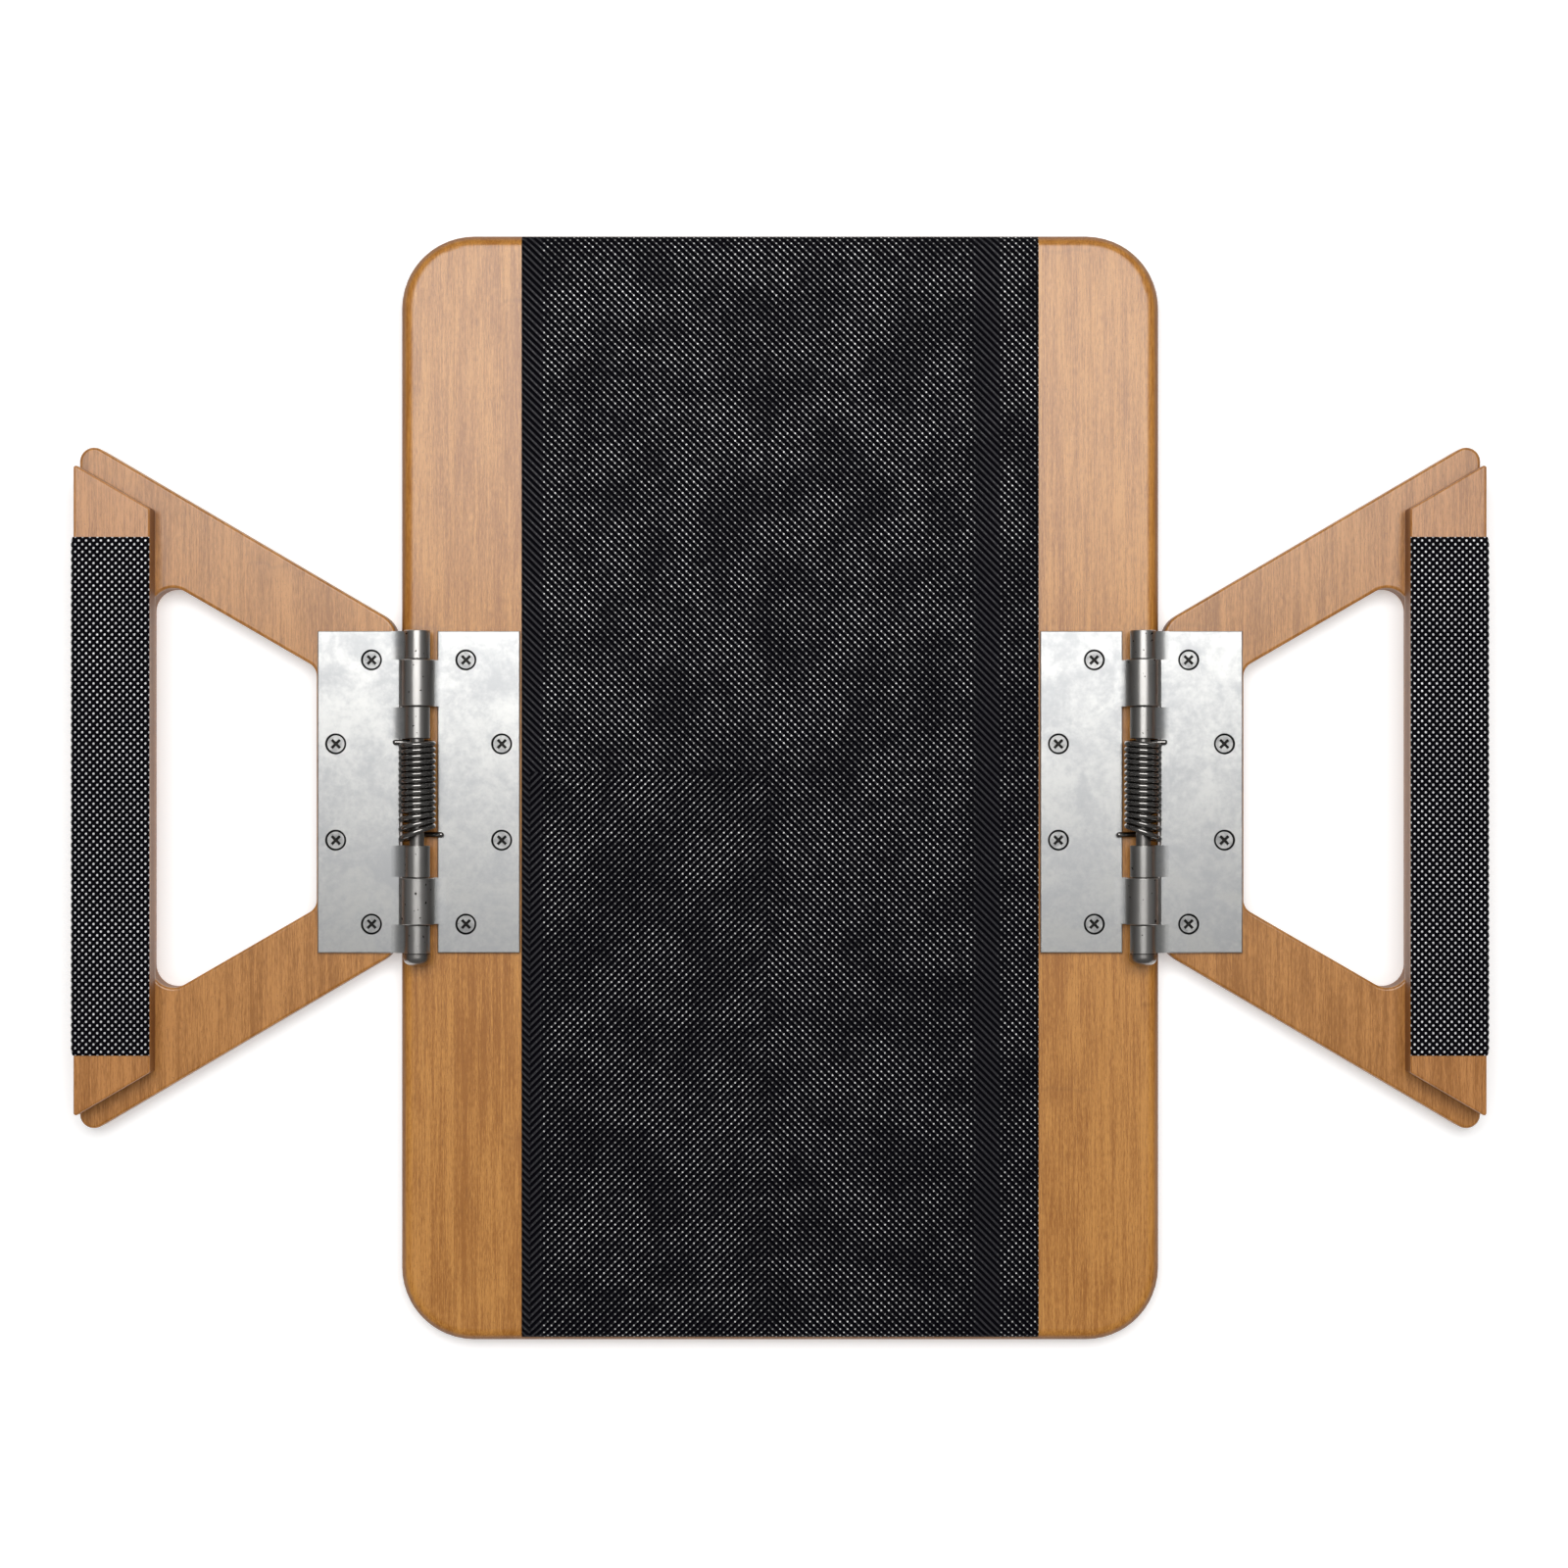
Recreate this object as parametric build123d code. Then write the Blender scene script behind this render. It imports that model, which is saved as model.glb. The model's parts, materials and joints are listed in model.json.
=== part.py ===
from build123d import *
import os
from math import cos, radians, sin

# A clip-on armrest tray lying on its plain face, with both clamp wings open flat.
# +X runs across the wings, +Y along the board and the grain, +Z out of the hinge side.
# The origin is the middle of the footprint, on the surface that the tray lies on.
# Each right-hand piece is drawn on +X, and its left-hand twin is the mirror image.

# Driving dimensions, in millimetres
PANEL = 10.0  # thickness of the board and of both wings
BOARD_WIDTH = 240.0
BOARD_LENGTH = 350.0
BOARD_CORNER = 23.0
BOARD_ROUNDOVER = 4.0  # edge on the hinge side
BOARD_EASING = 2.0  # edge on the plain side

MAT_WIDTH = 163.4
MAT_THICK = 1.0
MAT_BACK_END = 175.0  # the mat turns down over the roundover as far as this
MAT_FRONT_END = -174.0
MAT_LOWEST = 8.2

HINGE_X = 114.1  # pin axis
HINGE_Y = -1.3  # middle of the hinge
AXIS_RISE = 6.2  # pin axis above the board's face
HINGE_HALF = 50.8  # half of a four-inch hinge
LEAF_THICK = 1.8
LEAF_START = 6.0  # from the axis to the near edge of each leaf
LEAF_END = 31.9
LEAF_EASING = 0.3
PIN_RADIUS = 2.3
PIN_CLEARANCE = 0.05  # also round the outside of each bush
PIN_HEAD_RADIUS = 4.3
PIN_HEAD_HEIGHT = 3.5
PIN_HEAD_DOME = 2.4
WING_KNUCKLE_RADIUS = 4.1
BOARD_KNUCKLE_RADIUS = 5.5
KNUCKLE_WALL = 1.8  # of the board leaf's knuckles, which run on bushes
KNUCKLE_GAP = 0.1
KNUCKLE_EASING = 0.25
WEB_START = 8.7  # from the axis to where a leaf begins to rise to its knuckles
WEB_HOLLOW = 11.0  # radius of that rise
WEB_ANGLE = 20.0  # below the level of the pin, where the web meets its knuckle
# Where one knuckle ends and the next begins, from the middle of the hinge outwards
SPRING_HALF = 16.7
INNER_JOINT = 26.9
OUTER_JOINT = 41.7

SPRING_RADIUS = 5.0  # to the middle of the wire
WIRE_RADIUS = 0.9
SPRING_TURNS = 16

SCREW_NEAR = 14.9  # from the axis to the outer pair of screws in a leaf
SCREW_FAR = 26.2  # from the axis to the middle pair
SCREW_OUTER_Y = 41.7
SCREW_MIDDLE_Y = 15.2
HEAD_RADIUS = 2.7
HEAD_RIM = 0.3
HEAD_SINK = 0.45  # of each screw head below the leaf's face
SEAT_RADIUS = 3.3
SEAT_RIM = 0.3
SEAT_DROP = 1.6  # height of the countersink's cone
SHANK_RADIUS = 1.5
PILOT_RADIUS = 1.7
PILOT_SPARE = 0.2  # below the screw's tip
SCREW_LENGTH = 8.9
SCREW_TIP = 1.8
CROSS_LENGTH = 3.7
CROSS_WIDTH = 0.9
CROSS_DEPTH = 1.2

WING_INNER = 121.3
WING_OUTER = 221.6
WING_HALF_INNER = 52.1
WING_HALF_OUTER = 111.1
WING_CORNER_INNER = 9.0
WING_CORNER_OUTER = 4.5
WING_EASING = 1.0
WINDOW_INNER = 146.7
WINDOW_OUTER = 199.0
WINDOW_HALF_INNER = 38.0
WINDOW_HALF_OUTER = 68.3
WINDOW_CORNER_INNER = 4.5
WINDOW_CORNER_OUTER = 7.0

BAR_INNER = 197.6
BAR_THICK = 9.0
BAR_HALF_OUTER = 102.5
BAR_HALF_INNER = 88.5
BAR_Y = -0.8
BAR_EASING = 0.8
STRIP_THICK = 1.0
STRIP_LENGTH = 162.5
STRIP_Y = -2.6
DOWEL_RADIUS = 3.0
DOWEL_CLEARANCE = 0.05
DOWEL_DEPTH = 6.5  # of each hole
DOWEL_SPARE = 0.2  # glue room at each end
DOWEL_Y = 60.0

AXIS_Z = PANEL + AXIS_RISE
LEAF_TOP = PANEL + LEAF_THICK
BAR_TOP = PANEL + BAR_THICK
HEAD_TOP = LEAF_TOP - HEAD_SINK
PIN_BORE = PIN_RADIUS + PIN_CLEARANCE
BUSH_BORE = BOARD_KNUCKLE_RADIUS - KNUCKLE_WALL
BAR_MIDDLE = (BAR_INNER + WING_OUTER) / 2


def block(x, y, z):
    """A box from three (low, high) pairs."""
    size = Box(x[1] - x[0], y[1] - y[0], z[1] - z[0], align=Align.MIN)
    return Pos(x[0], y[0], z[0]) * size


def trapezoid(inner, outer, half_inner, half_outer, corner_inner, corner_outer):
    """A four-sided outline that widens outwards, with rounded corners."""
    corners = [
        (inner, -half_inner),
        (outer, -half_outer),
        (outer, half_outer),
        (inner, half_inner),
    ]
    outline = Polygon(*corners, align=None)
    outline = fillet(outline.vertices().group_by(Axis.X)[-1], corner_outer)
    return fillet(outline.vertices().group_by(Axis.X)[0], corner_inner)


def screw_places(side):
    """Screw centres of one leaf: side is 1 for the wing leaf and -1 for the board leaf."""
    places = []
    for offset, y in ((SCREW_NEAR, SCREW_OUTER_Y), (SCREW_FAR, SCREW_MIDDLE_Y)):
        for sign in (1, -1):
            places.append((HINGE_X + side * offset, HINGE_Y + sign * y))
    return places


def upright(x, y, low, high, radius):
    """An upright cylinder from one height to another."""
    return Pos(x, y, (low + high) / 2) * Cylinder(radius, high - low)


def pilot_holes(side):
    """Blind holes in the wood under one leaf."""
    bottom = HEAD_TOP - SCREW_LENGTH - PILOT_SPARE
    holes = Part()
    for x, y in screw_places(side):
        holes += upright(x, y, bottom, PANEL + 1, PILOT_RADIUS)
    return holes


def dowel_holes(low, high):
    """The two dowel holes, from one height to another."""
    holes = Part()
    for y in (-DOWEL_Y, DOWEL_Y):
        holes += upright(BAR_MIDDLE, y, low, high, DOWEL_RADIUS + DOWEL_CLEARANCE)
    return holes


# Board and mat


def make_board():
    """The tray's board, with pilot holes for both hinges."""
    plate = extrude(RectangleRounded(BOARD_WIDTH, BOARD_LENGTH, BOARD_CORNER), PANEL)
    plate = fillet(plate.faces().sort_by(Axis.Z)[-1].edges(), BOARD_ROUNDOVER)
    plate = fillet(plate.faces().sort_by(Axis.Z)[0].edges(), BOARD_EASING)
    holes = pilot_holes(-1)
    return plate - holes - mirror(holes, about=Plane.YZ)


def round_ended_slab(half_width, half_length, top, radius):
    """A slab whose two upper end edges are rounded."""
    slab = block((-half_width, half_width), (-half_length, half_length), (0, top))
    ends = slab.faces().sort_by(Axis.Z)[-1].edges().filter_by(Axis.X)
    return fillet(ends, radius)


def make_mat():
    """The anti-slip mat, which turns down over the board's rounded ends."""
    half_width = MAT_WIDTH / 2
    half_length = BOARD_LENGTH / 2
    skin = round_ended_slab(
        half_width,
        half_length + MAT_THICK,
        PANEL + MAT_THICK,
        BOARD_ROUNDOVER + MAT_THICK,
    )
    core = round_ended_slab(half_width + 1, half_length, PANEL, BOARD_ROUNDOVER)
    kept = block(
        (-half_width, half_width),
        (MAT_FRONT_END, MAT_BACK_END),
        (MAT_LOWEST, PANEL + MAT_THICK),
    )
    return (skin & kept) - core


# Wing, clamp bar and grip strip


def make_wing_frame():
    """One wing: a trapezoid panel with a trapezoid window."""
    outline = trapezoid(
        WING_INNER,
        WING_OUTER,
        WING_HALF_INNER,
        WING_HALF_OUTER,
        WING_CORNER_INNER,
        WING_CORNER_OUTER,
    )
    window = trapezoid(
        WINDOW_INNER,
        WINDOW_OUTER,
        WINDOW_HALF_INNER,
        WINDOW_HALF_OUTER,
        WINDOW_CORNER_INNER,
        WINDOW_CORNER_OUTER,
    )
    panel = extrude(outline - window, PANEL)
    rims = panel.faces().sort_by(Axis.Z)[-1].edges() + panel.faces().sort_by(Axis.Z)[0].edges()
    panel = fillet(rims, WING_EASING)
    return panel - dowel_holes(PANEL - DOWEL_DEPTH, PANEL + 1) - pilot_holes(1)


def make_clamp_bar():
    """The bar along the wing's outer rail, with ends cut along the wing's slopes."""
    corners = [
        (BAR_INNER, BAR_Y - BAR_HALF_INNER),
        (WING_OUTER, BAR_Y - BAR_HALF_OUTER),
        (WING_OUTER, BAR_Y + BAR_HALF_OUTER),
        (BAR_INNER, BAR_Y + BAR_HALF_INNER),
    ]
    bar = extrude(Pos(0, 0, PANEL) * Polygon(*corners, align=None), BAR_THICK)
    edges = bar.edges().filter_by(Axis.Z) + bar.faces().sort_by(Axis.Z)[-1].edges()
    return fillet(edges, BAR_EASING) - dowel_holes(PANEL - 1, PANEL + DOWEL_DEPTH)


def make_grip_strip():
    """The strip of mat over the bar's face, turned down its outer side."""
    along = (STRIP_Y - STRIP_LENGTH / 2, STRIP_Y + STRIP_LENGTH / 2)
    skin = block((BAR_INNER, WING_OUTER + STRIP_THICK), along, (PANEL, BAR_TOP + STRIP_THICK))
    shoulder = skin.edges().filter_by(Axis.Y).group_by(Axis.Z)[-1].sort_by(Axis.X)[-1]
    skin = fillet(shoulder, BAR_EASING + STRIP_THICK)
    core = block((BAR_INNER - 1, WING_OUTER), (along[0] - 1, along[1] + 1), (PANEL - 1, BAR_TOP))
    edge = core.edges().filter_by(Axis.Y).group_by(Axis.Z)[-1].sort_by(Axis.X)[-1]
    return skin - fillet(edge, BAR_EASING)


def make_dowels():
    """Two wooden dowels that join the bar to the rail."""
    reach = DOWEL_DEPTH - DOWEL_SPARE
    dowels = []
    for y in (-DOWEL_Y, DOWEL_Y):
        dowels.append(upright(BAR_MIDDLE, y, PANEL - reach, PANEL + reach, DOWEL_RADIUS))
    return Compound(children=dowels)


# Spring hinge


def along_pin(section, low, high):
    """Extrudes a section drawn about the pin axis from one place to another along the hinge."""
    plane = Plane(origin=(HINGE_X, HINGE_Y + high, AXIS_Z), x_dir=(1, 0, 0), z_dir=(0, -1, 0))
    return extrude(plane * section, high - low, dir=(0, -1, 0))


def make_knuckle(radius, bore, side, low, high):
    """A rolled knuckle, and the web that sweeps up to it from its leaf."""
    barrel = along_pin(Circle(radius), low, high)
    barrel = fillet(barrel.edges().filter_by(GeomType.CIRCLE), KNUCKLE_EASING)
    root = side * WEB_START
    leaf_level = LEAF_THICK - AXIS_RISE
    middle = (radius + bore) / 2
    web = Polygon(
        (0, -radius),
        (root, -AXIS_RISE),
        (root, leaf_level),
        (side * middle * cos(radians(WEB_ANGLE)), -middle * sin(radians(WEB_ANGLE))),
        align=None,
    )
    web -= Pos(root, leaf_level + WEB_HOLLOW) * Circle(WEB_HOLLOW)
    return barrel + along_pin(web, low, high)


def make_leaf(side, radius, bore, spans):
    """One hinge leaf with its knuckles and countersunk holes."""
    ends = sorted((HINGE_X + side * LEAF_START, HINGE_X + side * LEAF_END))
    along = (HINGE_Y - HINGE_HALF, HINGE_Y + HINGE_HALF)
    leaf = block(ends, along, (PANEL, LEAF_TOP))
    leaf = fillet(leaf.faces().sort_by(Axis.Z)[-1].edges(), LEAF_EASING)
    for low, high in spans:
        leaf += make_knuckle(radius, bore, side, low + KNUCKLE_GAP, high - KNUCKLE_GAP)
        leaf += make_knuckle(radius, bore, side, KNUCKLE_GAP - high, -KNUCKLE_GAP - low)
    leaf -= along_pin(Circle(bore), -HINGE_HALF - 1, HINGE_HALF + 1)
    for x, y in screw_places(side):
        leaf -= upright(x, y, LEAF_TOP - SEAT_RIM, LEAF_TOP + 1, SEAT_RADIUS)
        cone = Cone(SEAT_RADIUS - SEAT_DROP, SEAT_RADIUS, SEAT_DROP)
        leaf -= Pos(x, y, LEAF_TOP - SEAT_RIM - SEAT_DROP / 2) * cone
    return leaf


def make_wing_leaf():
    """The leaf on the wing carries the end knuckles and those beside the spring."""
    spans = ((SPRING_HALF, INNER_JOINT), (OUTER_JOINT, HINGE_HALF + KNUCKLE_GAP))
    return make_leaf(1, WING_KNUCKLE_RADIUS, PIN_BORE, spans)


def make_board_leaf():
    """The leaf on the board carries the two wide knuckles."""
    return make_leaf(-1, BOARD_KNUCKLE_RADIUS, BUSH_BORE, ((INNER_JOINT, OUTER_JOINT),))


def make_bushes():
    """The bushes that fill the wide knuckles round the pin."""
    low, high = INNER_JOINT + KNUCKLE_GAP, OUTER_JOINT - KNUCKLE_GAP
    wall = Circle(BUSH_BORE - PIN_CLEARANCE) - Circle(PIN_BORE)
    return Compound(children=[along_pin(wall, low, high), along_pin(wall, -high, -low)])


def make_pin():
    """The hinge pin, with a domed head at its front end."""
    head_top = -HINGE_HALF - KNUCKLE_GAP
    head_low = head_top - PIN_HEAD_HEIGHT
    head = along_pin(Circle(PIN_HEAD_RADIUS), head_low, head_top)
    head = fillet(head.faces().sort_by(Axis.Y)[0].edges(), PIN_HEAD_DOME)
    return head + along_pin(Circle(PIN_RADIUS), head_low + PIN_HEAD_HEIGHT / 2, HINGE_HALF)


def make_spring():
    """The torsion spring wound round the pin between the inner knuckles."""
    height = 2 * (SPRING_HALF - WIRE_RADIUS - KNUCKLE_GAP)
    pitch = height / SPRING_TURNS
    helix = Helix(pitch=pitch, height=height, radius=SPRING_RADIUS, lefthand=True)
    wire = Plane(origin=helix @ 0, z_dir=helix % 0) * Circle(WIRE_RADIUS)
    coil = sweep(wire, path=helix, is_frenet=True)
    return Pos(HINGE_X, HINGE_Y + height / 2, AXIS_Z) * Rot(90, 0, 0) * coil


def make_screws(side):
    """Four countersunk cross-head wood screws."""
    drop = HEAD_RADIUS - SHANK_RADIUS
    profile = Polygon(
        (0, 0),
        (HEAD_RADIUS, 0),
        (HEAD_RADIUS, -HEAD_RIM),
        (SHANK_RADIUS, -HEAD_RIM - drop),
        (SHANK_RADIUS, SCREW_TIP - SCREW_LENGTH),
        (0, -SCREW_LENGTH),
        align=None,
    )
    screw = revolve(Plane.XZ * profile, Axis.Z)
    for turn in (45, 135):
        screw -= Rot(0, 0, turn) * Box(CROSS_LENGTH, CROSS_WIDTH, 2 * CROSS_DEPTH)
    return Compound(children=[Pos(x, y, HEAD_TOP) * screw for x, y in screw_places(side)])


# One STEP file per node

ONE_OFF = {"board": make_board(), "grip_mat": make_mat()}
PAIRED = {
    "wing_frame": make_wing_frame(),
    "clamp_bar": make_clamp_bar(),
    "grip_strip": make_grip_strip(),
    "bar_dowels": make_dowels(),
    "hinge_board_leaf": make_board_leaf(),
    "hinge_wing_leaf": make_wing_leaf(),
    "hinge_bushes": make_bushes(),
    "hinge_pin": make_pin(),
    "torsion_spring": make_spring(),
    "board_leaf_screws": make_screws(-1),
    "wing_leaf_screws": make_screws(1),
}

os.makedirs("parts", exist_ok=True)
for name, piece in ONE_OFF.items():
    export_step(piece, f"parts/{name}.step")
for name, piece in PAIRED.items():
    export_step(piece, f"parts/right_{name}.step")
    export_step(mirror(piece, about=Plane.YZ), f"parts/left_{name}.step")
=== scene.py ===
import json
from math import atan2, cos, pi, radians, sin

import bpy
import numpy as np
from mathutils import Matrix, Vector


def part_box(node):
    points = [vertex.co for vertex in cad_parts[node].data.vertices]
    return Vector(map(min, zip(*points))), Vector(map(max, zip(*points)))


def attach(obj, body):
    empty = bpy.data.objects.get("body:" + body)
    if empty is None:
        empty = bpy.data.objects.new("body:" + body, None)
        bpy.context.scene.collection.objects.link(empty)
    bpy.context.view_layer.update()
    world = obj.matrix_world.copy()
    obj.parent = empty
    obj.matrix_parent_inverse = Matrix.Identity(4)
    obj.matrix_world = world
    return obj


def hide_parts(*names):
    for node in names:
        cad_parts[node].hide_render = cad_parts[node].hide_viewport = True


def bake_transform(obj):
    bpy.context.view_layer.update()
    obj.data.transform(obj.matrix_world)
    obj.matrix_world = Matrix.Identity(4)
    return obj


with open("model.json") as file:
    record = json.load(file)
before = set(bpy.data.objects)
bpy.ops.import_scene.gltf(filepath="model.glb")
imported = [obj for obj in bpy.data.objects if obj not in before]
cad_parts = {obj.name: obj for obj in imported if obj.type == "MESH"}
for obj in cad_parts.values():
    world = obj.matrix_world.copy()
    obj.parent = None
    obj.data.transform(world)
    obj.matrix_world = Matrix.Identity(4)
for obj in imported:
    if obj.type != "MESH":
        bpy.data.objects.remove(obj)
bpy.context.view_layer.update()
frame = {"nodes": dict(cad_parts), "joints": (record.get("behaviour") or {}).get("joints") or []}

# A bamboo armrest tray lying on its plain face, with its anti-slip mat and spring hinges upwards.
# Lengths are in metres here, and in millimetres inside the materials. Colours are linear.

MM = 0.001
SIDES = {"left": -1, "right": 1}
NODES = frame["nodes"]
HINGE = {joint["child"]: joint["pos_m"] for joint in frame["joints"]}

# The anti-slip mat: a lattice of raised points, with a point at every other corner. On the board
# the points run together into slanted rows, which turn at the middle of the mat and in a dull
# stripe near each long edge.
POINT_STEP = 1.18 * MM
POINT_HEIGHT = 0.55 * MM
ROW_DIP = 0.28  # of the rows between their points, as a share of the height
MAT_MIDDLE = (-3.9 * MM, 5.1 * MM)  # where the rows turn, across and along the board
DULL_STRIPES = (-79.2 * MM, 65.3 * MM)  # their middles, across the board
MAT_LIFT = 0.02 * MM  # of the mat's underside above the wood
BOARD_ROUNDOVER = 4.0 * MM
BAR_EASING = 0.8 * MM

# The torsion springs
WIRE_RADIUS = 0.9 * MM
COIL_RADIUS = 5.0 * MM
COIL_TURNS = 15
COIL_STEPS = 28  # for each turn
COIL_START = radians(165)  # from the top towards the board
COIL_SLANT = 3.6 * MM  # how much further the front end reaches on the wing's side
SLANT_TURNS = 3.0  # how many front turns lean
LEG_REACH = 7.2 * MM  # from the pin's axis
LEG_DIP = 0.6 * MM  # of a leg below its tip, where it leaves the coil
LEG_SAG = 0.25 * MM  # of a leg on the way there
LEAF_THICK = 1.8 * MM
WIRE_SIDES = 12
TIP_ANGLES = [radians(angle) for angle in (70, 45, 20)]  # loops that round off a wire's ends

# In millimetres: each leaf's screws, measured from the pin's axis and the hinge's middle
SCREW_PLACES = ((14.9, 41.7), (26.2, 15.2))
SEAT_RADIUS = 3.3
BARREL_REACH = 5.6  # of the rolled knuckles, from the pin's axis

# In millimetres: the bamboo
BOARD_STRIP = 15.5  # widths of the strips that the wood is glued up from
WING_STRIP = 17.0
BAR_STRIP = 8.0
GROWTH_SPACING = 265.0  # from one growth node of a strip to the next

# Each bamboo's palest and deepest tone, and the tone of its marks and of the painted shade on its narrow
# sides
BOARD_TONES = ((0.602, 0.268, 0.054), (0.362, 0.131, 0.014), (0.145, 0.046, 0.008))
WING_TONES = ((0.552, 0.241, 0.056), (0.334, 0.126, 0.016), (0.135, 0.043, 0.008))
BAR_TONES = ((0.540, 0.229, 0.056), (0.328, 0.120, 0.016), (0.140, 0.044, 0.008))

# Each steel's palest and dullest tone
HINGE_TONES = ((0.61, 0.61, 0.595), (0.45, 0.456, 0.462))
PIN_TONES = ((0.46, 0.44, 0.42), (0.30, 0.285, 0.27))
SPRING_TONES = ((0.38, 0.365, 0.35), (0.24, 0.23, 0.22))
SCREW_TONES = ((0.50, 0.50, 0.49), (0.30, 0.30, 0.30))
BARREL_TONE = (0.53, 0.515, 0.495)
PIT_TONE = (0.02, 0.018, 0.015)
# Painted shade for the countersinks and the screws, and the tone of the screws' specks of grime
SHADE_AND_GRIME_TONE = (0.012, 0.011, 0.010)

# Rubber: clean and dusty, the painted sheen on the rows of a dull stripe, and then the painted highlights on
# the rows and points
RUBBER_TONES = ((0.0020, 0.0018, 0.0034), (0.006, 0.0056, 0.0085))
STRIPE_SHEEN_TONE = (0.028, 0.0275, 0.031)
MAT_GLINT_TONES = ((0.045, 0.045, 0.048), (0.95, 0.95, 0.93))
STRIP_GLINT_TONES = ((0.02, 0.02, 0.022), (0.80, 0.80, 0.81))

# Camera, light and floor
CAMERA_HEIGHT = 1.0  # above the board's face
CAMERA_PLACE = (1.24 * MM, 1.24 * MM)
CAMERA_LENS = 72.6
SENSOR = 36.0
SOFTBOX_SIZE = (1.3, 0.8)
SOFTBOX_PLACE = (0, 0.50, 1.5)
SOFTBOX_POWER = 14.0
FILL_SIZE = 3.0
FILL_HEIGHT = 2.5
FILL_POWER = 30.0
SURROUND = (0.05, 0.16)  # strength at the horizon, and from SURROUND_RISE upwards
SURROUND_RISE = 0.6
FLOOR_REACH = 12.0
FLOOR_TONE = (0.93, 0.93, 0.93)
FLOOR_GLOW = 0.30


# Materials


class Graph:
    """The node tree of one material, with a short call for each kind of node used here."""

    def __init__(self, name):
        self.material = bpy.data.materials.new(name)
        self.material.use_nodes = True
        tree = self.material.node_tree
        self.nodes = tree.nodes
        self.links = tree.links
        self.shader = tree.nodes["Principled BSDF"]
        place = self.nodes.new("ShaderNodeTexCoord").outputs["Object"]
        self.point = self.vector("MULTIPLY", place, (1 / MM, 1 / MM, 1 / MM))

    def feed(self, socket, value):
        """Links a socket to another one, or sets it to a plain value."""
        if isinstance(value, bpy.types.NodeSocket):
            self.links.new(value, socket)
        else:
            socket.default_value = value

    def math(self, operation, *values, clamp=False):
        node = self.nodes.new("ShaderNodeMath")
        node.operation = operation
        node.use_clamp = clamp
        for socket, value in zip(node.inputs, values):
            self.feed(socket, value)
        return node.outputs[0]

    def vector(self, operation, a, b):
        node = self.nodes.new("ShaderNodeVectorMath")
        node.operation = operation
        self.feed(node.inputs[0], a)
        self.feed(node.inputs[1], b)
        return node.outputs[0]

    def apart(self, vector):
        node = self.nodes.new("ShaderNodeSeparateXYZ")
        self.feed(node.inputs[0], vector)
        return node.outputs

    def together(self, x, y, z):
        node = self.nodes.new("ShaderNodeCombineXYZ")
        for socket, value in zip(node.inputs, (x, y, z)):
            self.feed(socket, value)
        return node.outputs[0]

    def off(self, value, middle):
        """How far value is from middle, either way."""
        return self.math("ABSOLUTE", self.math("SUBTRACT", value, middle))

    def length(self, a, b):
        """The length of a flat vector."""
        squares = [self.math("MULTIPLY", side, side) for side in (a, b)]
        return self.math("SQRT", self.math("ADD", *squares))

    def stack(self, start, *layers):
        """start plus layers of noise. Each layer is a noise about 0.5 and its weight."""
        total = start
        for noise, weight in layers:
            total = self.math("MULTIPLY_ADD", self.math("SUBTRACT", noise, 0.5), weight, total)
        return total

    def strongest(self, *masks):
        """The largest of some masks. Each is a value and its weight."""
        total = 0.0
        for value, weight in masks:
            total = self.math("MAXIMUM", total, self.math("MULTIPLY", value, weight))
        return total

    def noise(self, vector, scale, detail=2.0, roughness=0.5, distortion=0.0):
        """Smooth noise about 0.5. scale is in cycles per millimetre, one for all axes or each its own."""
        if not isinstance(scale, tuple):
            scale = (scale, scale, scale)
        node = self.nodes.new("ShaderNodeTexNoise")
        self.feed(node.inputs["Vector"], self.vector("MULTIPLY", vector, scale))
        node.inputs["Scale"].default_value = 1.0
        node.inputs["Detail"].default_value = detail
        node.inputs["Roughness"].default_value = roughness
        node.inputs["Distortion"].default_value = distortion
        return node.outputs[0]

    def random(self, value):
        node = self.nodes.new("ShaderNodeTexWhiteNoise")
        node.noise_dimensions = "1D"
        self.feed(node.inputs["W"], value)
        return node.outputs["Value"]

    def band(self, value, low, high, at_low=0.0, at_high=1.0):
        """A smooth step from at_low to at_high while value goes from low to high."""
        node = self.nodes.new("ShaderNodeMapRange")
        node.interpolation_type = "SMOOTHSTEP"
        for name, number in (
            ("Value", value),
            ("From Min", low),
            ("From Max", high),
            ("To Min", at_low),
            ("To Max", at_high),
        ):
            self.feed(node.inputs[name], number)
        return node.outputs[0]

    def mix(self, factor, a, b):
        """Colour a where factor is 0 and colour b where it is 1."""
        node = self.nodes.new("ShaderNodeMix")
        node.data_type = "RGBA"
        self.feed(node.inputs["Factor"], factor)
        for name, colour in (("A", a), ("B", b)):
            socket = [s for s in node.inputs if s.name == name and s.type == "RGBA"][0]
            self.feed(socket, (*colour, 1.0) if isinstance(colour, tuple) else colour)
        return [s for s in node.outputs if s.type == "RGBA"][0]

    def bump(self, height, distance, strength=1.0):
        """Feeds the shader's normal with a height in units of distance, in metres."""
        node = self.nodes.new("ShaderNodeBump")
        node.inputs["Strength"].default_value = strength
        node.inputs["Distance"].default_value = distance
        self.feed(node.inputs["Height"], height)
        self.feed(self.shader.inputs["Normal"], node.outputs[0])

    def set(self, **values):
        """Shader inputs by name, with underscores for spaces. Gives the finished material."""
        for name, value in values.items():
            if isinstance(value, tuple):
                value = (*value, 1.0)
            self.feed(self.shader.inputs[name.replace("_", " ")], value)
        return self.material


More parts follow.
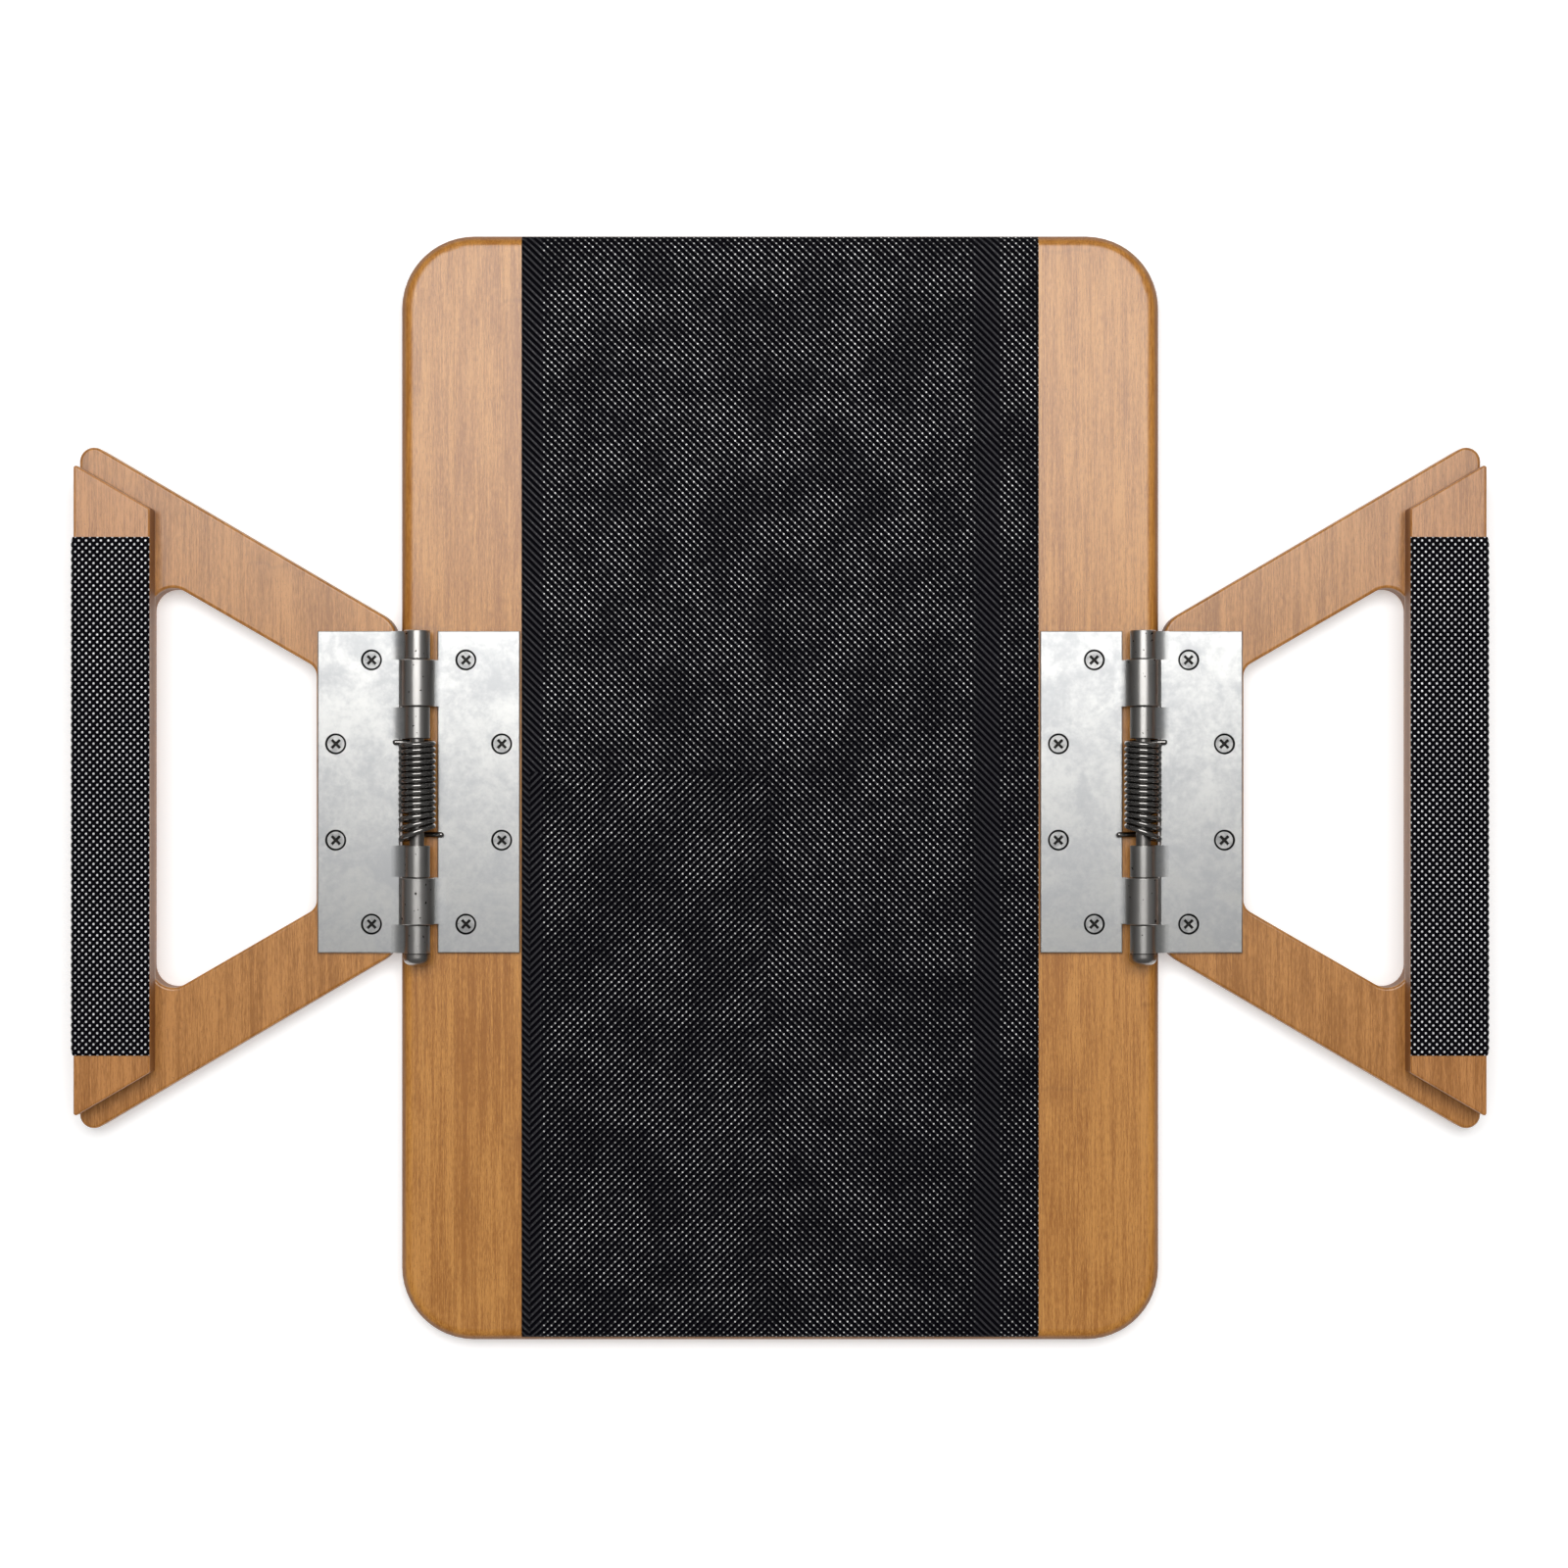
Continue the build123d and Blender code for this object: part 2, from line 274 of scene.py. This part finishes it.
def lay_strips(g, width, seed):
    """Strips side by side across X.

    Gives places that differ from strip to strip, each strip's own tone, and the thin glue lines
    between them. The bare numbers only keep one strip's grain from being another's.
    """
    x, y, z = g.apart(g.vector("ADD", g.point, (seed * 13.7, seed * 71.3, seed * 5.1)))
    lane = g.math("DIVIDE", x, width)
    index = g.math("FLOOR", lane)
    tone = g.random(g.math("ADD", index, seed + 0.5))
    shift = g.math("MULTIPLY", g.random(g.math("ADD", index, seed + 61.5)), 900.0)
    own = g.together(g.math("MULTIPLY_ADD", tone, 40.0, x), g.math("ADD", y, shift), z)
    edge = g.math("MULTIPLY", g.math("PINGPONG", lane, 0.5), width)
    return own, tone, g.band(edge, 0.04, 0.16, 1.0, 0.0)


def growth_nodes(g, own):
    """One growth node across each strip now and then, a little wavy: its ring and its wide halo."""
    wave = g.stack(0.0, (g.noise(own, (0.25, 0.02, 0.25), 1.0), 4.0))
    along = g.math("DIVIDE", g.math("ADD", g.apart(own)[1], wave), GROWTH_SPACING)
    off = g.math("MULTIPLY", g.off(g.math("FRACT", along), 0.5), GROWTH_SPACING)
    return g.band(off, 0.2, 1.2, 1.0, 0.0), g.band(off, 1.0, 9.0, 1.0, 0.0)


def panel_sides(g, node):
    """Where a panel's narrow sides are, between the roundings of its two faces."""
    low, high = (corner.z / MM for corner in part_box(node))
    height = g.apart(g.point)[2]
    under_face = g.band(height, high - 1.6, high - 0.2, 1.0, 0.0)
    return g.math("MULTIPLY", under_face, g.band(height, low + 0.1, low + 1.0))


def make_bamboo(name, node, strip, seed, tones):
    """Lacquered bamboo glued up from strips side by side, with its grain along Y."""
    g = Graph(name)
    pale, deep, dark = tones
    side = panel_sides(g, node)
    own, tone, seam = lay_strips(g, strip, seed)
    ring, halo = growth_nodes(g, own)

    fibres = g.noise(own, (2.2, 0.060, 2.2), 3.0, 0.65)
    streaks = g.noise(own, (0.50, 0.012, 0.50), 2.0, 0.55)
    clouds = g.noise(own, (0.10, 0.020, 0.10), 3.0, 0.55, 0.4)
    grain = g.noise(own, (3.4, 0.42, 3.4), 2.0, 0.6)
    bundles = g.band(g.noise(own, (4.2, 0.16, 4.2), 1.0), 0.60, 0.72)
    specks = g.band(g.noise(own, (4.0, 1.1, 4.0), 0.0), 0.72, 0.80)

    depth = g.math("MULTIPLY_ADD", tone, 0.24, 0.37)
    depth = g.stack(depth, (fibres, 2.4), (streaks, 1.5), (clouds, 1.5), (grain, 2.2))
    colour = g.mix(g.math("ADD", depth, 0.0, clamp=True), pale, deep)
    # Besides the real marks, the narrow sides get painted shade in the dark tone
    marks_and_side_shade = ((bundles, 0.30), (specks, 0.34), (ring, 0.20), (halo, 0.07), (seam, 0.14), (side, 0.62))
    colour = g.mix(g.strongest(*marks_and_side_shade), colour, dark)

    rough = g.math("MULTIPLY_ADD", side, 0.25, g.math("MULTIPLY_ADD", fibres, 0.14, 0.24))
    relief = g.math("SUBTRACT", g.math("MULTIPLY", fibres, 0.5), g.math("MULTIPLY", bundles, 0.35))
    relief = g.math("SUBTRACT", relief, g.math("MULTIPLY", seam, 0.5))
    g.bump(relief, 0.035 * MM, 0.8)
    return g.set(
        Base_Color=colour,
        Roughness=rough,
        Specular_IOR_Level=0.5,
        Coat_Weight=g.math("MULTIPLY_ADD", side, -0.6, 0.7),
        Coat_Roughness=0.22,
    )


def make_beech(name):
    """Bare pale dowel wood."""
    g = Graph(name)
    grain = g.noise(g.point, (1.4, 1.4, 0.12), 3.0, 0.6)
    flecks = g.band(g.noise(g.point, (3.0, 3.0, 0.6), 1.0), 0.62, 0.74)
    colour = g.mix(grain, (0.56, 0.36, 0.19), (0.40, 0.23, 0.11))
    colour = g.mix(g.math("MULTIPLY", flecks, 0.4), colour, (0.22, 0.11, 0.05))
    g.bump(grain, 0.05 * MM, 0.6)
    return g.set(Base_Color=colour, Roughness=g.math("MULTIPLY_ADD", grain, 0.2, 0.55))


def lattice_relief(g):
    """How high a place is on the lattice: among points that stand alone, and along the rows."""
    lattice = g.nodes.new("ShaderNodeAttribute")
    lattice.attribute_name = "lattice"
    across, along, lean = g.apart(lattice.outputs["Vector"])
    across, along = g.math("MULTIPLY", across, pi), g.math("MULTIPLY", along, pi)
    peaks = g.math("MULTIPLY", g.math("COSINE", across), g.math("COSINE", along))
    twist = g.math("MULTIPLY", g.math("SINE", across), g.math("SINE", along))
    return peaks, g.math("MULTIPLY_ADD", lean, twist, peaks)


def make_mat_rubber(name, glint_tones, reach, least, turned=False):
    """Black anti-slip mat whose rows and points carry painted highlights and a smoother, glossier coat.

    The second argument holds the painted highlight tones of the rows and points. reach is how far
    down each point the painted highlight goes, and least is how much of it there is where there is
    the least. turned is for the mat whose rows turn.
    """
    g = Graph(name)
    line, point = glint_tones
    peaks, crest = lattice_relief(g)
    patches = g.noise(g.point, 0.06, 3.0, 0.6)
    spots = g.noise(g.point, 0.75, 2.0)
    dust = g.noise(g.point, 1.9, 2.0)
    # Noise patches and spots set how strong the painted highlights are from place to place
    glint_amount = g.math("MULTIPLY", g.band(patches, 0.38, 0.62, 0.35, 1.0), g.band(spots, 0.36, 0.58, 0.25, 1.0))
    glint_amount = g.math("MULTIPLY_ADD", glint_amount, 1.0 - least, least)
    dull = 0.0
    if turned:
        # The rows' painted highlights are weaker where the rows turn, and hardly there at all in the dull
        # stripes
        x, y, _ = g.apart(g.point)
        for value, middle in ((x, MAT_MIDDLE[0]), (y, MAT_MIDDLE[1])):
            glint_amount = g.math("MULTIPLY", glint_amount, g.band(g.off(value, middle / MM), 0.3, 1.4, 0.65, 1.0))
        for middle in DULL_STRIPES:
            dull = g.math("MAXIMUM", dull, g.band(g.off(x, middle / MM), 3.1, 5.0, 1.0, 0.0))

    # Painted highlights along the row crests and on the point tips
    row = g.math("MULTIPLY", g.band(crest, 0.72, 0.97), glint_amount)
    row = g.math("MULTIPLY", row, g.math("MULTIPLY_ADD", dull, -0.45, 1.0))
    tip = g.math("MULTIPLY", g.band(peaks, reach, reach + 0.35), glint_amount)
    tip = g.math("MULTIPLY", tip, g.math("MULTIPLY_ADD", dull, -0.96, 1.0))
    colour = g.mix(g.band(dust, 0.60, 0.85, 0.0, 0.5), *RUBBER_TONES)
    colour = g.mix(row, colour, line)
    # Painted sheen on the crests of the rows in the dull stripes
    colour = g.mix(g.math("MULTIPLY", dull, g.band(crest, 0.1, 0.6)), colour, STRIPE_SHEEN_TONE)
    colour = g.mix(tip, colour, point)
    g.bump(dust, 0.03 * MM, 0.5)
    return g.set(
        Base_Color=colour,
        Roughness=g.stack(0.50, (dust, 0.18)),
        Specular_IOR_Level=0.04,
        Coat_Weight=g.math("MAXIMUM", tip, g.math("MULTIPLY", row, 0.25)),
        Coat_IOR=1.85,
        Coat_Roughness=0.18,
    )


def satin(g, tones, rough, mottle):
    """Cloudy plating with a faint relief. Gives its colour and its roughness."""
    clouds = g.noise(g.point, 0.07, 4.0, 0.62, 0.6)
    grains = g.noise(g.point, 0.55, 2.0, 0.6)
    marks = g.noise(g.point, 0.5, 2.0, 0.6)
    depth = g.stack(0.5, (clouds, 2.2 * mottle), (grains, 0.9 * mottle), (marks, 0.6))
    depth = g.band(depth, -0.3, 1.3)
    g.bump(g.math("MULTIPLY_ADD", grains, 0.05, clouds), 0.03 * MM, 0.5)
    return g.mix(depth, *tones), g.stack(rough, (depth, 0.06))


def make_steel(name, tones, rough, mottle=1.0):
    """Satin steel."""
    g = Graph(name)
    colour, roughness = satin(g, tones, rough, mottle)
    return g.set(Base_Color=colour, Roughness=roughness, Metallic=1.0)


def make_hinge_steel(name):
    """Satin steel with pitted, smoother knuckles and painted shade in the countersinks."""
    g = Graph(name)
    colour, roughness = satin(g, HINGE_TONES, 0.32, 1.7)

    # Places are measured from the nearer pin's axis and from the hinge's middle
    pin_x, middle_y, pin_z = (value / MM for value in HINGE["right_wing"])
    x, y, z = g.apart(g.point)
    across = g.math("SUBTRACT", g.math("ABSOLUTE", x), pin_x)
    along = g.off(y, middle_y)
    above = g.math("SUBTRACT", z, pin_z)

    rolled = g.band(g.length(across, above), BARREL_REACH, BARREL_REACH + 0.8, 1.0, 0.0)
    colour = g.mix(rolled, colour, BARREL_TONE)
    pits = g.band(g.noise(g.point, 0.9, 0.0), 0.79, 0.82)
    colour = g.mix(g.math("MULTIPLY", pits, rolled), colour, PIT_TONE)
    roughness = g.math("MULTIPLY_ADD", rolled, -0.012, roughness)

    across = g.math("ABSOLUTE", across)
    # Painted shade darkens each countersink round a screw
    for screw_across, screw_along in SCREW_PLACES:
        reach = g.length(g.off(across, screw_across), g.off(along, screw_along))
        shade_and_grime = g.band(reach, SEAT_RADIUS - 0.1, SEAT_RADIUS + 0.15, 0.9, 0.0)
        colour = g.mix(shade_and_grime, colour, SHADE_AND_GRIME_TONE)
    return g.set(Base_Color=colour, Roughness=roughness, Metallic=1.0)


def make_screw_steel(name):
    """Plated screw steel with painted shade in the cross and under the head's rim, and specks of grime."""
    g = Graph(name)
    head_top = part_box("left_wing_leaf_screws")[1].z / MM
    height = g.apart(g.point)[2]
    grains = g.noise(g.point, 0.9, 3.0, 0.6)
    scuffs = g.noise(g.point, 0.35, 2.0)
    colour = g.mix(g.band(scuffs, 0.3, 0.7), *SCREW_TONES)
    # Painted shade everywhere below the head's top face, which takes in the cross; the grains add specks of
    # grime
    shade_and_grime = g.band(height, head_top - 0.25, head_top - 0.05, 0.97, 0.0)
    shade_and_grime = g.math("MAXIMUM", shade_and_grime, g.band(grains, 0.60, 0.80, 0.0, 0.45))
    colour = g.mix(shade_and_grime, colour, SHADE_AND_GRIME_TONE)
    g.bump(grains, 0.02 * MM, 0.5)
    return g.set(Base_Color=colour, Roughness=g.math("MULTIPLY_ADD", grains, 0.2, 0.26), Metallic=1.0)


def give(piece, material):
    """Puts one material in every slot of a piece."""
    if not piece.data.materials:
        piece.data.materials.append(material)
    for number in range(len(piece.data.materials)):
        piece.data.materials[number] = material


def finish_nodes():
    """Gives every node that keeps its CAD shape its own material."""
    board_wood = make_bamboo("bamboo_board", "board", BOARD_STRIP, 3, BOARD_TONES)
    wing_wood = make_bamboo("bamboo_wing", "right_wing_frame", WING_STRIP, 11, WING_TONES)
    bar_wood = make_bamboo("bamboo_bar", "right_clamp_bar", BAR_STRIP, 23, BAR_TONES)
    hinge = make_hinge_steel("hinge_steel")
    pin = make_steel("pin_steel", PIN_TONES, 0.31)
    screws = make_screw_steel("screw_steel")
    finishes = {
        "board": board_wood,
        "wing_frame": wing_wood,
        "clamp_bar": bar_wood,
        "bar_dowels": make_beech("beech_dowel"),
        "hinge_board_leaf": hinge,
        "hinge_wing_leaf": hinge,
        "hinge_pin": pin,
        "hinge_bushes": pin,
        "board_leaf_screws": screws,
        "wing_leaf_screws": screws,
    }
    for name, node in NODES.items():
        side, _, rest = name.partition("_")
        plain = rest if side in SIDES else name
        if plain in finishes:
            give(node, finishes[plain])


# Meshes


def make_mesh(name, points, faces, smooth=True):
    """A mesh object from points in metres."""
    mesh = bpy.data.meshes.new(name)
    mesh.from_pydata([tuple(p) for p in points], [], faces)
    mesh.update()
    mesh.polygons.foreach_set("use_smooth", [smooth] * len(mesh.polygons))
    piece = bpy.data.objects.new(name, mesh)
    bpy.context.scene.collection.objects.link(piece)
    return piece


def run(start, end, steps):
    """Evenly spaced stations along a straight run of a section, with their outward direction."""
    start, end = np.array(start), np.array(end)
    ahead = (end - start) / np.linalg.norm(end - start)
    out = np.array((-ahead[1], ahead[0]))
    return [(start + (end - start) * k / steps, out) for k in range(steps + 1)]


def bend(centre, radius, first, last, steps):
    """Evenly spaced stations round an arc of a section, between two angles from the first axis."""
    stations = []
    for k in range(steps + 1):
        angle = first + (last - first) * k / steps
        out = np.array((cos(angle), sin(angle)))
        stations.append((np.array(centre) + radius * out, out))
    return stations


def steps_for(length):
    """How many lattice steps fit a length best."""
    return max(1, round(length / POINT_STEP))


def on_row(a, b, lean):
    """Whether the middle of a lattice cell is on one of the rows that lean a given way."""
    return lean == (1 if (a + b) % 2 == 0 else -1)


def is_low(a, b, lean):
    """Whether a lattice place is in a valley. Corners of cells have whole places."""
    if a == int(a):
        return (a + b) % 2 == 1
    return not on_row(int(a), int(b), lean)


def add_corners(sheet, stations, values, skin, place, lean_at):
    """The lattice's corners. Every other one is a raised point, but not along the sheet's rim."""
    points, lattice, _ = sheet
    columns, rows = len(values) - 1, len(stations) - 1
    for b, (base, out) in enumerate(stations):
        for a, value in enumerate(values):
            rim = a in (0, columns) or b in (0, rows)
            raised = (a + b) % 2 == 0 and not rim
            spot = base + out * (skin + POINT_HEIGHT * raised)
            points.append(place(value, *spot))
            lattice.append((a, b, lean_at(value, *base)))


def add_cells(sheet, stations, values, skin, place, lean_at):
    """The lattice's cells: four triangles each, round a middle that is raised on a row."""
    points, lattice, faces = sheet
    columns, rows, wide = len(values) - 1, len(stations) - 1, len(values)
    for b in range(rows):
        base = (stations[b][0] + stations[b + 1][0]) / 2
        out = stations[b][1] + stations[b + 1][1]
        out = out / np.linalg.norm(out)
        for a in range(columns):
            value = (values[a] + values[a + 1]) / 2
            lean = lean_at(value, *base)
            inside = 0 < a < columns - 1 and 0 < b < rows - 1
            raised = on_row(a, b, lean) and inside
            spot = base + out * (skin + POINT_HEIGHT * (1 - ROW_DIP) * raised)
            corner, middle = b * wide + a, len(points)
            points.append(place(value, *spot))
            lattice.append((a + 0.5, b + 0.5, lean))
            corners = (corner, corner + 1, corner + 1 + wide, corner + wide)
            faces += [(corners[n], corners[(n + 1) % 4], middle) for n in range(4)]


def add_underside(sheet, stations, values, place):
    """The underside of a sheet, and its four edges."""
    points, lattice, faces = sheet
    columns, rows, wide = len(values) - 1, len(stations) - 1, len(values)
    first = len(points)
    for b, (base, out) in enumerate(stations):
        spot = base + out * MAT_LIFT
        for a in (0, columns):
            points.append(place(values[a], *spot))
            lattice.append((a, b, 0.0))
    for b in range(rows):
        left, right = first + 2 * b, first + 2 * b + 1
        faces.append((left, left + 2, right + 2, right))
        faces.append((b * wide, (b + 1) * wide, left + 2, left))
        faces.append((right, right + 2, (b + 1) * wide + columns, b * wide + columns))
    end = rows * wide
    faces.append((first, first + 1, *[columns - a for a in range(wide)]))
    faces.append((first + 2 * rows + 1, first + 2 * rows, *[end + a for a in range(wide)]))


def crease(mesh, valley):
    """Makes each row or point smooth up to a crease along the valleys."""
    ends = np.empty(2 * len(mesh.edges), np.int32)
    mesh.edges.foreach_get("vertices", ends)
    creases = mesh.attributes.new("sharp_edge", "BOOLEAN", "EDGE")
    creases.data.foreach_set("value", valley[ends.reshape(-1, 2)].all(axis=1))


def studded_sheet(name, stations, low, high, thick, place, lean_at=lambda value, *spot: 0):
    """A closed sheet of raised points. stations follow its underside, and it spans low to high.

    place turns a value between low and high and a station's two coordinates into a point. lean_at
    gives 1 or -1 where the points run together into rows along one diagonal of the lattice or the
    other, and 0 where they stand alone.
    """
    columns = steps_for(high - low)
    values = [low + (high - low) * a / columns for a in range(columns + 1)]
    skin = thick - POINT_HEIGHT
    sheet = points, lattice, faces = [], [], []
    add_corners(sheet, stations, values, skin, place, lean_at)
    add_cells(sheet, stations, values, skin, place, lean_at)
    valley = [is_low(*spot) for spot in lattice]
    add_underside(sheet, stations, values, place)
    valley += [True] * (len(points) - len(valley))

    piece = make_mesh(name, points, faces)
    data = piece.data.attributes.new("lattice", "FLOAT_VECTOR", "POINT")
    data.data.foreach_set("vector", np.array(lattice, np.float32).ravel())
    crease(piece.data, np.array(valley))
    return piece


def row_lean(x, y):
    """Which diagonal of the lattice the rows follow at a place on the board's mat."""
    turns = (x > MAT_MIDDLE[0]) + (y > MAT_MIDDLE[1]) + (x < DULL_STRIPES[0]) + (x > DULL_STRIPES[1])
    return 1 if turns % 2 == 0 else -1


def make_board_mat(material):
    """The mat down the middle of the board, turned down over both rounded ends."""
    low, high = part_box("grip_mat")
    board_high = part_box("board")[1]
    thick = high.z - board_high.z
    centre_z = board_high.z - BOARD_ROUNDOVER
    centre_y = board_high.y - BOARD_ROUNDOVER
    outer = BOARD_ROUNDOVER + thick
    front_turn = np.arcsin((-low.y - centre_y) / outer)
    back_turn = np.arcsin((high.y - centre_y) / outer)
    middle = outer - POINT_HEIGHT / 2
    stations = bend(
        (-centre_y, centre_z),
        BOARD_ROUNDOVER,
        pi / 2 + front_turn,
        pi / 2,
        steps_for(middle * front_turn),
    )[:-1]
    stations += run((-centre_y, board_high.z), (centre_y, board_high.z), steps_for(2 * centre_y))
    stations += bend(
        (centre_y, centre_z),
        BOARD_ROUNDOVER,
        pi / 2,
        pi / 2 - back_turn,
        steps_for(middle * back_turn),
    )[1:]
    mat = studded_sheet(
        "anti_slip_mat",
        stations,
        low.x,
        high.x,
        thick,
        lambda x, y, z: (x, y, z),
        lambda x, y, z: row_lean(x, y),
    )
    give(mat, material)
    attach(mat, "base")
    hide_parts("grip_mat")


def make_strip(side, material):
    """A strip of mat over one clamp bar, turned down the bar's outer side."""
    sign = SIDES[side]
    low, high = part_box(f"{side}_grip_strip")
    bar_low, bar_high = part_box(f"{side}_clamp_bar")
    thick = high.z - bar_high.z
    inner = min(abs(low.x), abs(high.x))
    outer = max(abs(bar_low.x), abs(bar_high.x))
    corner_x, corner_z = outer - BAR_EASING, bar_high.z - BAR_EASING
    turn_length = (BAR_EASING + thick) * pi / 2
    stations = run((inner, bar_high.z), (corner_x, bar_high.z), steps_for(corner_x - inner))
    stations += bend((corner_x, corner_z), BAR_EASING, pi / 2, 0, steps_for(turn_length))[1:]
    stations += run((outer, corner_z), (outer, low.z), steps_for(corner_z - low.z))[1:]
    strip = studded_sheet(
        f"{side}_studded_strip",
        stations,
        low.y,
        high.y,
        thick,
        lambda y, x, z: (sign * x, y, z),
    )
    if sign > 0:
        strip.data.flip_normals()
    give(strip, material)
    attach(strip, f"{side}_wing")
    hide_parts(f"{side}_grip_strip")


def wire_loops(path, radius):
    """The loops of a wire along a path, and of its rounded ends: middle, two axes and radius."""
    ahead = np.gradient(path, axis=0)
    ahead /= np.linalg.norm(ahead, axis=1)[:, None]
    normal = np.cross(ahead[0], (0.0, 1.0, 0.0))
    normal /= np.linalg.norm(normal)
    rings = []
    for spot, direction in zip(path, ahead):
        normal = normal - direction * np.dot(normal, direction)
        normal /= np.linalg.norm(normal)
        rings.append((spot, normal, np.cross(direction, normal)))

    loops = [(spot, normal, side, radius) for spot, normal, side in rings]
    for angle in reversed(TIP_ANGLES):
        reach, size = radius * sin(angle), radius * cos(angle)
        spot, normal, side = rings[0]
        loops.insert(0, (spot - ahead[0] * reach, normal, side, size))
        spot, normal, side = rings[-1]
        loops.append((spot + ahead[-1] * reach, normal, side, size))
    return loops


def wire(name, path, radius):
    """A round wire along a path of points, with rounded ends."""
    loops = wire_loops(np.array(path), radius)
    points = []
    for spot, normal, side, size in loops:
        for k in range(WIRE_SIDES):
            angle = 2 * pi * k / WIRE_SIDES
            points.append(spot + size * (normal * cos(angle) + side * sin(angle)))
    faces = [tuple(reversed(range(WIRE_SIDES)))]
    for n in range(len(loops) - 1):
        for k in range(WIRE_SIDES):
            a, b = n * WIRE_SIDES + k, n * WIRE_SIDES + (k + 1) % WIRE_SIDES
            faces.append((a, b, b + WIRE_SIDES, a + WIRE_SIDES))
    faces.append(tuple((len(loops) - 1) * WIRE_SIDES + k for k in range(WIRE_SIDES)))
    return make_mesh(name, points, faces)


def make_spring(side, material):
    """A torsion spring whose front turns lean, with a short leg on each leaf."""
    sign = SIDES[side]
    axis = HINGE[f"{side}_wing"]
    low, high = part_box(f"{side}_torsion_spring")
    front, back = low.y + WIRE_RADIUS, high.y - WIRE_RADIUS
    pitch = (back - front - COIL_SLANT) / COIL_TURNS
    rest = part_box("board")[1].z + LEAF_THICK + WIRE_RADIUS - axis[2]  # the legs' height on a leaf

    def coil(turn):
        """The wire's middle, on the way round from the front end."""
        angle = COIL_START + 2 * pi * turn
        drop = COIL_SLANT * max(0.0, 1 - turn / SLANT_TURNS)
        y = front + COIL_SLANT + pitch * turn - drop * (1 - sin(angle)) / 2
        return np.array((COIL_RADIUS * sin(angle), y, COIL_RADIUS * cos(angle)))

    def leg(end, away):
        """Points from a coil's end out to where its tip lies on a leaf."""
        tip = np.array((away * LEG_REACH, end[1], rest))
        reach = np.array((away * COIL_RADIUS * 0.9, end[1], rest - LEG_DIP))
        halfway = (end + reach) / 2 - np.array((0, 0, LEG_SAG))
        return [halfway, reach, tip]

    steps = COIL_TURNS * COIL_STEPS
    path = [coil(COIL_TURNS * k / steps) for k in range(steps + 1)]
    path = leg(path[0], 1)[::-1] + path + leg(path[-1], -1)
    placed = [(axis[0] - sign * x, y, axis[2] + z) for x, y, z in path]
    spring = wire(f"{side}_wound_spring", placed, WIRE_RADIUS)
    give(spring, material)
    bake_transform(spring)
    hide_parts(f"{side}_torsion_spring")


# Stage, light and camera


def make_floor():
    """A plain white floor."""
    r = FLOOR_REACH
    floor = make_mesh("floor", [(-r, -r, 0), (r, -r, 0), (r, r, 0), (-r, r, 0)], [(0, 1, 2, 3)], smooth=False)
    paint = Graph("floor_paint").set(
        Base_Color=FLOOR_TONE,
        Roughness=0.9,
        Specular_IOR_Level=0.1,
        Emission_Color=(1.0, 1.0, 1.0),
        Emission_Strength=FLOOR_GLOW,
    )
    give(floor, paint)


def make_lamp(name, size, power, place):
    """A rectangular lamp that faces down, as a lamp object."""
    lamp = bpy.data.lights.new(name, "AREA")
    lamp.shape = "RECTANGLE"
    lamp.size, lamp.size_y = size
    lamp.energy = power
    holder = bpy.data.objects.new(name, lamp)
    holder.location = place
    bpy.context.scene.collection.objects.link(holder)
    return holder


def make_light():
    """A softbox overhead towards +Y, a fill that makes no reflection, and the surround."""
    softbox = make_lamp("softbox", SOFTBOX_SIZE, SOFTBOX_POWER, SOFTBOX_PLACE)
    softbox.rotation_euler = (-atan2(SOFTBOX_PLACE[1], SOFTBOX_PLACE[2]), 0, 0)
    fill = make_lamp("fill", (FILL_SIZE, FILL_SIZE), FILL_POWER, (0, 0, FILL_HEIGHT))
    fill.visible_glossy = False
    make_surround()


def make_surround():
    """A soft white surround that darkens to the horizon."""
    world = bpy.data.worlds.new("surround")
    bpy.context.scene.world = world
    world.use_nodes = True
    nodes, links = world.node_tree.nodes, world.node_tree.links
    place = nodes.new("ShaderNodeTexCoord")
    split = nodes.new("ShaderNodeSeparateXYZ")
    links.new(place.outputs["Generated"], split.inputs[0])
    ramp = nodes.new("ShaderNodeMapRange")
    links.new(split.outputs["Z"], ramp.inputs["Value"])
    ramp.inputs["From Min"].default_value = 0.0
    ramp.inputs["From Max"].default_value = SURROUND_RISE
    ramp.inputs["To Min"].default_value, ramp.inputs["To Max"].default_value = SURROUND
    nodes["Background"].inputs["Color"].default_value = (1, 1, 1, 1)
    links.new(ramp.outputs[0], nodes["Background"].inputs["Strength"])


def make_camera():
    """Looks straight down, with +Y up in the picture."""
    camera = bpy.data.cameras.new("camera")
    camera.lens = CAMERA_LENS
    camera.sensor_width = SENSOR
    camera.clip_start, camera.clip_end = 0.01, 100.0
    holder = bpy.data.objects.new("camera", camera)
    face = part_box("board")[1].z
    holder.location = (*CAMERA_PLACE, face + CAMERA_HEIGHT)
    bpy.context.scene.collection.objects.link(holder)
    bpy.context.scene.camera = holder


make_camera()
make_light()
make_floor()
finish_nodes()
make_board_mat(make_mat_rubber("anti_slip_mat", MAT_GLINT_TONES, reach=0.62, least=0.05, turned=True))
strip_rubber = make_mat_rubber("anti_slip_strip", STRIP_GLINT_TONES, reach=0.44, least=0.60)
spring_steel = make_steel("spring_steel", SPRING_TONES, 0.18, 0.8)
for side in SIDES:
    make_strip(side, strip_rubber)
    make_spring(side, spring_steel)

bpy.context.scene.view_settings.view_transform = "Standard"
